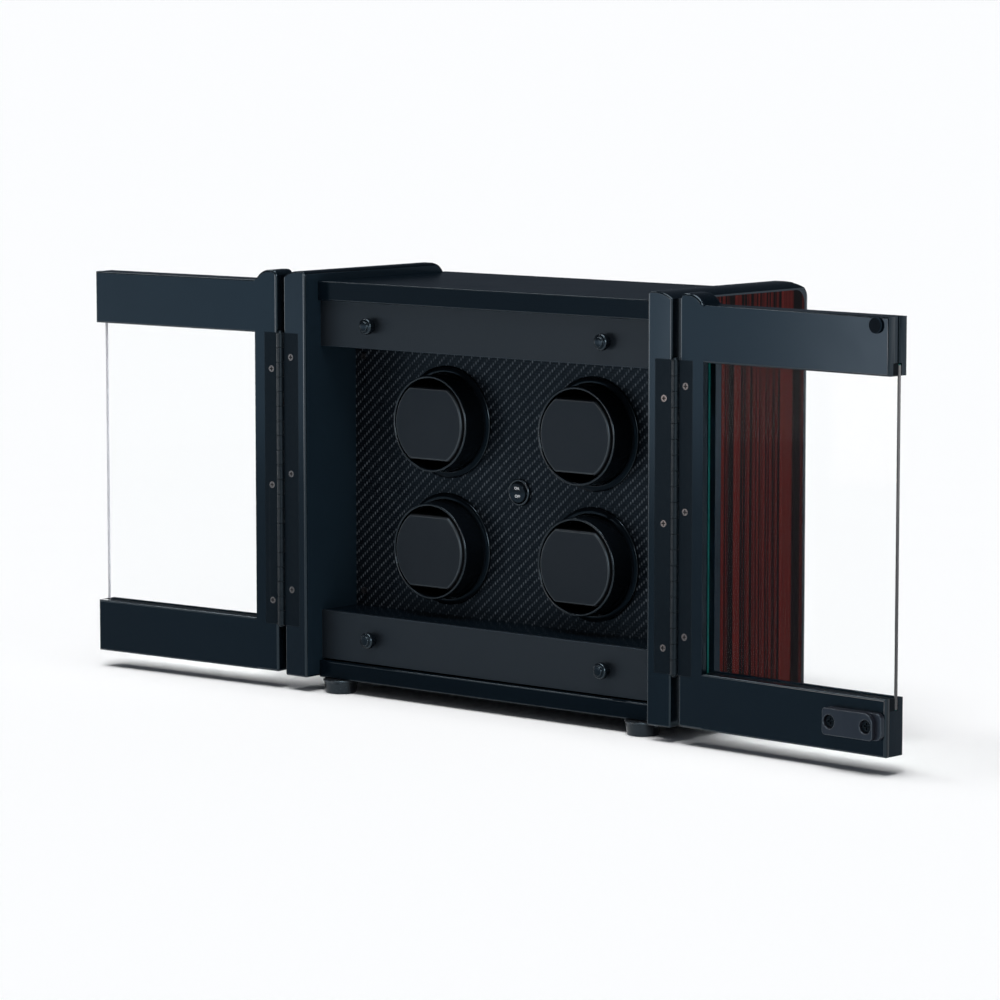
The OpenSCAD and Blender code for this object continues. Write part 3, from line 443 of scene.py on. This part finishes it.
FINISHES = {
    "lacquer": worn_pair(black_lacquer, "black_lacquer", (0.13, 0.45), LACQUER_WEAR),
    "veneer": (striped_veneer(),),
    "fascia": faces_and_edges(satin_fascia, "satin_fascia", 0.17, 0.5),
    "woven_panel": (carbon_twill(),),
    "head_plastic": plastic_pair("head_plastic", (0.06, 0.35), GLOSS_BLACK, 0.16, 900),
    "holder_plastic": plastic_pair("holder_plastic", (0.1, 0.5), SOFT_BLACK, 0.36, 1100),
    "black_plastic": plastic_pair("black_plastic", (0.12, 0.5), PLAIN_BLACK, 0.2, 1200),
    "foot_plastic": faces_and_edges(foot_plastic, "foot_plastic", 0.42, 0.7),
    "hinge_black": worn_pair(blackened_steel, "blackened_steel", (0.06, 0.2), HINGE_WEAR),
    "screw_steel": (screw_steel(), screw_recess_painted_shade()),
    "chassis_zinc": (zinc_plate(),),
    "circuit_board": (circuit_board(),),
    "pine": (bare_pine(),),
    "clear_glass": (clear_glass(),),
    "black_rubber": faces_and_edges(black_rubber, "black_rubber", 0.06, 0.2),
}
GLASS_EDGE = glass_edge()
# Painted light and shade: the same polished glass end, painted pale on the left door and near black on
# the right
PANE_END = {
    "left": pane_end("pane_end_left_painted_light", (0.62, 0.62, 0.68), (0.78, 0.78, 0.84)),
    "right": pane_end("pane_end_right_painted_shade", (0.012, 0.013, 0.016), (0.03, 0.029, 0.035)),
}
WHITE_PRINT = white_print()
CATCH_PLASTIC = plastic_pair("catch_plastic", (0.2, 0.6), CATCH_GREY, 0.3, 1000)
DULL_LACQUER = worn_pair(black_lacquer, "dull_lacquer", (0.03, 0.35), LACQUER_WEAR)
INNER_WALL_PAINTED_LIGHT = black_lacquer("inner_wall_painted_light", COOL_SHEEN, 0.04, 0.0, WALL_PAINTED_LIGHT)


# Mesh work that the pieces share

MERGE = 0.0005 * MM
FLAT = math.radians(0.4)
SHARP = math.radians(32)
# A face has to reach this many rounding widths from an edge that is rounded
ROOM_FOR_EDGE = 2.1
ROUND_STEPS = 3
FINE_STEPS = 5
# A piece's materials in order: its plain faces, its edges, and a side panel's inner wall, painted
# lighter as painted light
FACE = 0
EDGE = 1
INNER = 2
# A long face narrower than this is one of the strips that make a rounded corner
CORNER_STRIP = 1.2 * MM


def merged_copy(node):
    """A node's solid as one bmesh, with its loose triangles joined and its flat faces whole."""
    bm = bmesh.new()
    bm.from_mesh(NODES[node].data)
    bmesh.ops.remove_doubles(bm, verts=bm.verts, dist=MERGE)
    bmesh.ops.recalc_face_normals(bm, faces=bm.faces)
    bmesh.ops.dissolve_limit(bm, angle_limit=FLAT, verts=bm.verts, edges=bm.edges, delimit=set())
    return bm


def depth_from(edge, face):
    """How far a face reaches from the line of one of its edges."""
    start = edge.verts[0].co
    line = (edge.verts[1].co - start).normalized()
    reach = 0.0
    for vert in face.verts:
        away = vert.co - start
        reach = max(reach, (away - line * away.dot(line)).length)
    return reach


def outer_corners(bm, width, where):
    """The sharp outward edges that pass a test and have room on both faces to be rounded."""
    found = []
    for edge in bm.edges:
        if not edge.is_manifold or not edge.is_convex or edge.calc_face_angle(0) < SHARP:
            continue
        if where and not where((edge.verts[0].co + edge.verts[1].co) / 2):
            continue
        if min(depth_from(edge, face) for face in edge.link_faces) > ROOM_FOR_EDGE * width:
            found.append(edge)
    return found


def ease(bm, width, where=None, segments=ROUND_STEPS, finish=EDGE):
    """Rounds edges, and gives the narrow new faces a finish, in general the one for edges."""
    edges = outer_corners(bm, width, where)
    if not edges:
        return
    done = bmesh.ops.bevel(bm, geom=edges, offset=width, offset_type="OFFSET", affect="EDGES",
                           segments=segments, profile=0.5, material=-1, clamp_overlap=False)
    for face in done["faces"]:
        face.material_index = finish


def narrow_faces(bm):
    """Gives the strips of a rounded corner the finish for edges."""
    for face in bm.faces:
        longest = max(edge.calc_length() for edge in face.edges)
        if face.calc_area() < CORNER_STRIP * longest:
            face.material_index = EDGE


def finished(name, bm, body, slot, *nodes, materials=None):
    """Makes the piece, smooth between its sharp edges, and sets what it rides on and replaces."""
    mesh = bpy.data.meshes.new(name)
    bm.to_mesh(mesh)
    bm.free()
    mesh.shade_smooth()
    mesh.set_sharp_from_angle(angle=SHARP)
    for material in materials or FINISHES[slot]:
        mesh.materials.append(material)
    piece = bpy.data.objects.new(name, mesh)
    bpy.context.scene.collection.objects.link(piece)
    even = piece.modifiers.new("even_shading", "WEIGHTED_NORMAL")
    even.keep_sharp = True
    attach(piece, body)
    if nodes:
        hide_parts(*nodes)


def eased_copy(node, *widths, segments=ROUND_STEPS, materials=None):
    """A node's own shape with its edges rounded, where there is room, by each width in turn.

    A width in millimetres is for all edges, and a pair of a width and a test for those that pass it.
    """
    bm = merged_copy(node)
    if SLOT_OF[node] in ("lacquer", "hinge_black"):
        narrow_faces(bm)
    for width in widths:
        if isinstance(width, tuple):
            ease(bm, width[0] * MM, width[1], FINE_STEPS)
        else:
            ease(bm, width * MM, None, segments)
    body = NODES[node]["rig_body"]
    finished(f"{node}_eased", bm, body, SLOT_OF[node], node, materials=materials)


# Places on the doors

def in_door(name, point):
    """A point's place on a door: outwards from the pin, and behind the pin."""
    pin = Vector(JOINTS[f"{name}_door_swing"]["pos_m"])
    across = (point.x - pin.x) * SIDES[name]
    back = point.y - pin.y
    outwards = across * math.cos(DOOR_AJAR) - back * math.sin(DOOR_AJAR)
    behind = across * math.sin(DOOR_AJAR) + back * math.cos(DOOR_AJAR)
    return outwards, behind


def stile_edge(name):
    """How far a door's stile reaches from the pin."""
    return max(in_door(name, vert.co)[0] for vert in NODES[f"{name}_door_stile"].data.vertices)


# Boards, doors and plain fittings

# Rounding of their edges in millimetres
BOARDS = {"top_panel": 1.2, "bottom_panel": 1.2, "upper_ledge": 0.8, "lower_ledge": 0.8}
FITTINGS = {
    "upper_fascia": 0.5, "lower_fascia": 0.5, "winder_panel": 0.3, "bezel_rings": 0.7,
    "switch_rocker": 0.4, "power_inlet": 0.4, "door_bumper": 0.8, "catch_screws": 0.3,
    "feet": 0.7, "foot_screws": 0.3,
    "left_hinge_cabinet_leaf": 0.25, "left_hinge_door_leaf": 0.25, "left_hinge_pin": 0.3,
    "right_hinge_cabinet_leaf": 0.25, "right_hinge_door_leaf": 0.25, "right_hinge_pin": 0.3,
}
CATCH_ROUND = 0.7
SIDE_ROUND = 1.5
STILE_ROUND = 2.2
RAIL_ROUND = 1.6
CUP_ROUNDS = (1.0, 0.4)
HOLDER_ROUND = 1.6
FLANGE_ROUND = 1.05
SWITCH_ROUND = 0.3
FLANGE_REACH = 0.5 * MM
JOINT_ROOM = 0.5 * MM
# A face whose normal is this near an axis faces along it
FACING = 0.99

for node, obj in NODES.items():
    for place in obj.material_slots:
        place.material = FINISHES[SLOT_OF[node]][0]

for node, width in FITTINGS.items():
    eased_copy(node, width)

for node, width in BOARDS.items():
    eased_copy(node, width, materials=DULL_LACQUER)

eased_copy("catch_block", CATCH_ROUND, materials=CATCH_PLASTIC)


def side_panel(name):
    """A side panel with rounded edges, and its inner wall in a duller coat whose lighter tone is
    painted light.
    """
    node = f"{name}_side_panel"
    bm = merged_copy(node)
    narrow_faces(bm)
    ease(bm, SIDE_ROUND * MM)
    bm.normal_update()
    for face in bm.faces:
        # Inward faces get the lacquer painted lighter, a painted light
        if face.normal.x * SIDES[name] < -FACING:
            face.material_index = INNER
    coats = [*FINISHES["lacquer"], INNER_WALL_PAINTED_LIGHT]
    finished(f"{node}_eased", bm, "cabinet", "lacquer", node, materials=coats)


def door_stile(name):
    """A hinge stile with rounded edges, apart from the one that is flush with the rails."""
    rim = stile_edge(name) - JOINT_ROOM
    eased_copy(f"{name}_door_stile", (STILE_ROUND, lambda point: in_door(name, point)[0] < rim))


def door_rail(name, piece):
    """A rail with rounded outer edges, flush with the stile where they join."""
    node = f"{name}_door_{piece}"
    shoulder = stile_edge(name) + JOINT_ROOM
    depths = [in_door(name, vert.co)[1] for vert in NODES[node].data.vertices]
    front = min(depths) + JOINT_ROOM
    back = max(depths) - JOINT_ROOM

    def outer(point):
        outwards, behind = in_door(name, point)
        return outwards > shoulder and not front < behind < back

    eased_copy(node, (RAIL_ROUND, outer))


for name in SIDES:
    side_panel(name)
    door_stile(name)
    door_rail(name, "top_rail")
    door_rail(name, "bottom_rail")

for i in HEADS:
    eased_copy(f"cup_{i}", *CUP_ROUNDS, segments=ROUND_STEPS + 1)
    eased_copy(f"holder_{i}", HOLDER_ROUND, segments=FINE_STEPS)


def front_of(node, reach):
    """A test for the edges within a distance of a node's front."""
    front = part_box(node)[0].y
    return lambda point: point.y < front + reach


eased_copy("switch_body", (FLANGE_ROUND, front_of("switch_body", FLANGE_REACH)), SWITCH_ROUND)


# Screws with a cross recess

HEAD_ROUND = 0.12 * MM
# How far the recess reaches as a share of the head's radius, and how deep it starts
RECESS_REACH = 0.62
RECESS_LIP = 0.12 * MM


def islands(bm):
    """The separate solids in a bmesh, each as a list of faces."""
    left = set(bm.faces)
    found = []
    while left:
        group = [left.pop()]
        for face in group:
            for edge in face.edges:
                for other in edge.link_faces:
                    if other in left:
                        left.remove(other)
                        group.append(other)
        found.append(group)
    return found


def screws(node, depth):
    """Screws with eased heads and recesses in painted shade. Depth gives how far back a point lies."""
    bm = merged_copy(node)
    ease(bm, HEAD_ROUND, finish=FACE)
    for solid in islands(bm):
        points = [vert.co for face in solid for vert in face.verts]
        front = min(depth(point) for point in points)
        across = [point.x for point in points]
        up = [point.z for point in points]
        middle = Vector(((min(across) + max(across)) / 2, (min(up) + max(up)) / 2))
        reach = RECESS_REACH * (max(up) - min(up)) / 2
        for face in solid:
            at = face.calc_center_median()
            if depth(at) > front + RECESS_LIP and (Vector((at.x, at.z)) - middle).length < reach:
                # The recess takes the screw's second finish, its painted shade
                face.material_index = EDGE
    finished(f"{node}_eased", bm, NODES[node]["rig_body"], "screw_steel", node)


screws("cabinet_hinge_screws", lambda point: point.y)
screws("winder_panel_screws", lambda point: point.y)
screws("back_panel_screws", lambda point: -point.y)
screws("left_door_hinge_screws", lambda point: in_door("left", point)[1])
screws("right_door_hinge_screws", lambda point: in_door("right", point)[1])


# Thumbscrews

ARC_STEPS = 6
TURN_STEPS = 96


def rounded(corners):
    """A profile of (radius, along, rounding) corners as points, each corner an arc of its rounding."""
    points = []
    for here, (radius, along, fillet) in enumerate(corners):
        corner = Vector((radius, along))
        if fillet == 0:
            points.append(corner)
            continue
        back = (Vector(corners[here - 1][:2]) - corner).normalized()
        ahead = (Vector(corners[here + 1][:2]) - corner).normalized()
        half = back.angle(ahead) / 2
        middle = corner + (back + ahead).normalized() * (fillet / math.sin(half))
        start = corner + back * (fillet / math.tan(half)) - middle
        turn = start.angle_signed(corner + ahead * (fillet / math.tan(half)) - middle)
        for step in range(ARC_STEPS + 1):
            points.append(middle + Matrix.Rotation(-turn * step / ARC_STEPS, 2) @ start)
    return points


def turned(bm, profile, foot, axis):
    """Spins a profile, in millimetres, round an axis through its foot."""
    side = axis.orthogonal().normalized()
    verts = [bm.verts.new(foot + (side * p.x + axis * p.y) * MM) for p in profile]
    edges = [bm.edges.new(pair) for pair in zip(verts, verts[1:])]
    bmesh.ops.spin(bm, geom=verts + edges, cent=foot, axis=axis, angle=math.tau, steps=TURN_STEPS,
                   use_merge=True, use_normal_flip=False, use_duplicate=False)


# Radius, distance from the fascia and rounding of each corner, in millimetres
THUMB_PROFILE = (
    (0, 11, 0), (4.4, 10.7, 1.1), (4.4, 9.2, 0.3), (7, 8.9, 2.2), (7, 3.1, 1.6), (5, 2.9, 0.3),
    (5, 0, 0), (2.5, 0, 0), (2.5, -16, 0), (0, -16, 0),
)
THUMB_REACH = 7 * MM
# Faces that slope this much are a head's rounded edges
THUMB_SLOPE = (0.2, 0.97)


def thumbscrews():
    """Round heads with a raised middle, on a narrower collar."""
    bm = bmesh.new()
    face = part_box("upper_fascia")[0].y
    low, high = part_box("fascia_thumbscrews")
    for x in (low.x + THUMB_REACH, high.x - THUMB_REACH):
        for z in (low.z + THUMB_REACH, high.z - THUMB_REACH):
            turned(bm, rounded(THUMB_PROFILE), Vector((x, face, z)), Vector((0, -1, 0)))
    bmesh.ops.remove_doubles(bm, verts=bm.verts, dist=MERGE)
    bmesh.ops.recalc_face_normals(bm, faces=bm.faces)
    for part in bm.faces:
        if THUMB_SLOPE[0] < abs(part.normal.y) < THUMB_SLOPE[1]:
            part.material_index = EDGE
    finished("thumbscrews_turned", bm, "cabinet", "black_plastic", "fascia_thumbscrews")


thumbscrews()


# Panes

ARRIS = 0.7 * MM
# A face counts as the hinge edge up to this far from it
HINGE_EDGE = 0.07 * MM
# A pane's materials after that of its faces: the ground edges in the frame, with a painted glow, and
# the polished free end, painted pale on the left door and dark on the right
GROUND = 1
POLISHED = 2


def pane(name):
    """Glass with its arrises taken off. Its edges in the frame are ground, and show green with a
    painted glow.
    """
    node = f"{name}_door_glass"
    bm = merged_copy(node)
    bmesh.ops.bevel(bm, geom=bm.edges[:], offset=ARRIS, offset_type="OFFSET", affect="EDGES",
                    segments=1, profile=0.5, material=-1, clamp_overlap=True)
    middles = [face.calc_center_median() for face in bm.faces]
    reaches = [in_door(name, middle)[0] for middle in middles]
    low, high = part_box(node)
    for face, middle, reach in zip(bm.faces, middles, reaches):
        in_rails = not low.z + ARRIS < middle.z < high.z - ARRIS
        if in_rails or reach < min(reaches) + HINGE_EDGE:
            face.material_index = GROUND
        elif reach > max(reaches) - ARRIS:
            face.material_index = POLISHED
    glass = [*FINISHES["clear_glass"], GLASS_EDGE, PANE_END[name]]
    finished(f"{name}_pane", bm, f"{name}_door", "clear_glass", node, materials=glass)


for name in SIDES:
    pane(name)


# Lettering on the switch

# The rocker's tilt at rest, and its sloping halves: their length, how far they stand out at the
# middle, and how much further at the ends
ROCKER_TILT = math.radians(-JOINTS["switch_tilt"]["range_deg"][0] / 2)
ROCKER_HALF = 8.8 * MM
ROCKER_MIDDLE = 2.4 * MM
ROCKER_RISE = 1.2 * MM
LETTER_HEIGHT = 2.5 * MM
LETTER_AT = {1: 4.2 * MM, -1: 2.8 * MM}
LETTER_SWELL = 0.03
PRINT_DEPTH = 0.04 * MM


def lettering(word, way):
    """A word printed on the upper (way 1) or the lower (way -1) half of the rocker."""
    curve = bpy.data.curves.new(f"switch_{word}", "FONT")
    curve.body = word
    curve.align_x = "CENTER"
    curve.align_y = "CENTER"
    curve.offset = LETTER_SWELL
    shape = bpy.data.objects.new(f"switch_{word}", curve)
    bpy.context.scene.collection.objects.link(shape)
    depsgraph = bpy.context.evaluated_depsgraph_get()
    flat = bpy.data.meshes.new_from_object(shape.evaluated_get(depsgraph))
    bpy.data.objects.remove(shape)
    bm = bmesh.new()
    bm.from_mesh(flat)
    heights = [v.co.y for v in bm.verts]
    middle = (max(heights) + min(heights)) / 2
    size = LETTER_HEIGHT / (max(heights) - min(heights))
    slope = math.atan2(ROCKER_RISE, ROCKER_HALF)
    height = LETTER_AT[way]
    out = ROCKER_MIDDLE + ROCKER_RISE * height / ROCKER_HALF + PRINT_DEPTH / 2
    centre = Matrix.Scale(size, 4) @ Matrix.Translation((0, -middle, 0))
    stand = Matrix.Rotation(math.radians(90) + way * slope, 4, "X")
    lift = Matrix.Translation((0, -out, way * height))
    tilt = Matrix.Rotation(ROCKER_TILT, 4, "X")
    pivot = Matrix.Translation(Vector(JOINTS["switch_tilt"]["pos_m"]))
    place = pivot @ tilt @ lift @ stand @ centre
    bmesh.ops.solidify(bm, geom=bm.faces[:], thickness=PRINT_DEPTH / size)
    bmesh.ops.transform(bm, matrix=place, verts=bm.verts)
    bmesh.ops.recalc_face_normals(bm, faces=bm.faces)
    name = f"switch_word_{word.lower()}"
    finished(name, bm, "switch_rocker", "black_plastic", materials=[WHITE_PRINT])


lettering("ON", 1)
lettering("OFF", -1)


# Setting: floor, light and camera

FLOOR_HALF = 4000.0
FLOOR_DROP = 0.05 * MM
FLOOR_TONE = (0.96, 0.96, 0.96, 1)


def floor():
    """A plain pale floor that runs out of sight."""
    bm = bmesh.new()
    bmesh.ops.create_grid(bm, x_segments=1, y_segments=1, size=FLOOR_HALF)
    mesh = bpy.data.meshes.new("floor")
    bm.to_mesh(mesh)
    bm.free()
    sockets = {"Base Color": FLOOR_TONE, "Roughness": 0.9, "Specular IOR Level": 0.0}
    mesh.materials.append(Finish("pale_floor", sockets).material)
    piece = bpy.data.objects.new("floor", mesh)
    piece.location.z = -FLOOR_DROP
    bpy.context.scene.collection.objects.link(piece)


ROOM_TONE = (0.05, 0.06, 0.075, 1)
PLAIN_WHITE = (1.0, 1.0, 1.0)
WARM_WHITE = (1.0, 0.69, 0.57)
FRONT_LEFT = Vector((-0.647, -0.762, 0))
BACK_LEFT = Vector((-0.647, 0.762, 0))
BACK_RIGHT = Vector((0.647, 0.762, 0))
SIDE_FRONT = Vector((2.45, -1.95, 0.9))

# Lamps far off: the direction they shine from, and how wide they look in degrees
SUNS = {
    "broad_lamp": {"from": Vector((-0.03, -0.18, 0.98)), "strength": 2.2, "width": 42},
    "upper_lamp": {"from": Vector((0.25, -0.40, 0.88)), "strength": 0.6, "width": 9},
    "left_lamp": {"from": Vector((-0.64, -0.12, 0.76)), "strength": 0.25, "width": 9},
    "right_lamp": {"from": Vector((0.75, -0.5, 0.43)), "strength": 0.35, "width": 60},
}

# Cards: where they stand, the direction they shine from, their size in metres, and how bright they look
CARDS = {
    "side_card": {
        "at": SIDE_FRONT, "from": SIDE_FRONT, "size": (1.3, 0.9), "glow": 14.0, "tint": PLAIN_WHITE,
    },
    "front_card": {
        "at": Vector((-1.2, -1.5, 0.2)), "from": FRONT_LEFT, "size": (3.0, 0.32),
        "glow": 2.2, "tint": PLAIN_WHITE,
    },
    "door_card": {
        "at": Vector((-0.576, -1.435, 0.2)), "from": FRONT_LEFT, "size": (0.4, 0.32),
        "glow": 10.5, "tint": WARM_WHITE,
    },
    "back_card": {
        "at": Vector((-0.5, 0.6, 0.19)), "from": BACK_LEFT, "size": (3.0, 0.22),
        "glow": 2.4, "tint": PLAIN_WHITE,
    },
    "end_card": {
        "at": Vector((1.43, 1.29, 0.2)), "from": BACK_RIGHT, "size": (0.8, 0.7),
        "glow": 1.3, "tint": PLAIN_WHITE,
    },
}


def lamp(name, kind, from_where, energy):
    """A lamp that shines from a direction."""
    source = bpy.data.lights.new(name, kind)
    source.energy = energy
    stand = bpy.data.objects.new(name, source)
    stand.rotation_euler = from_where.to_track_quat("Z", "Y").to_euler()
    bpy.context.scene.collection.objects.link(stand)
    return source, stand


def bright_card(name, card):
    """A bright card that only shows in polished surfaces, out of the camera's sight."""
    width, height = card["size"]
    source, stand = lamp(name, "AREA", card["from"], card["glow"] * math.pi * width * height)
    source.shape = "RECTANGLE"
    source.size = width
    source.size_y = height
    source.color = card["tint"]
    stand.location = card["at"]
    stand.visible_camera = False
    stand.visible_diffuse = False
    stand.visible_transmission = False


def light():
    """A dim, cool room with broad and small lamps above it, and bright cards round it."""
    world = bpy.data.worlds.new("dim_room")
    world.use_nodes = True
    world.node_tree.nodes["Background"].inputs["Color"].default_value = ROOM_TONE
    bpy.context.scene.world = world
    for name, sun in SUNS.items():
        source, _ = lamp(name, "SUN", sun["from"], sun["strength"])
        source.angle = math.radians(sun["width"])
    for name, card in CARDS.items():
        bright_card(name, card)


CAMERA_AT = (2.3331, -2.7934, 0.6001)
CAMERA_YAW = math.radians(40.33)
CAMERA_DOWN = math.radians(6.65)
FILM = 36.0
LENS = 154.6
FARTHEST = 10000


def camera():
    """The viewpoint: right of the front, a little above, through a long lens."""
    lens = bpy.data.cameras.new("viewpoint")
    lens.sensor_width = FILM
    lens.lens = LENS
    lens.clip_end = FARTHEST
    eye = bpy.data.objects.new("viewpoint", lens)
    eye.location = CAMERA_AT
    eye.rotation_euler = (math.radians(90) - CAMERA_DOWN, 0, CAMERA_YAW)
    bpy.context.scene.collection.objects.link(eye)
    bpy.context.scene.camera = eye


floor()
light()
camera()
bpy.context.scene.view_settings.view_transform = "Standard"
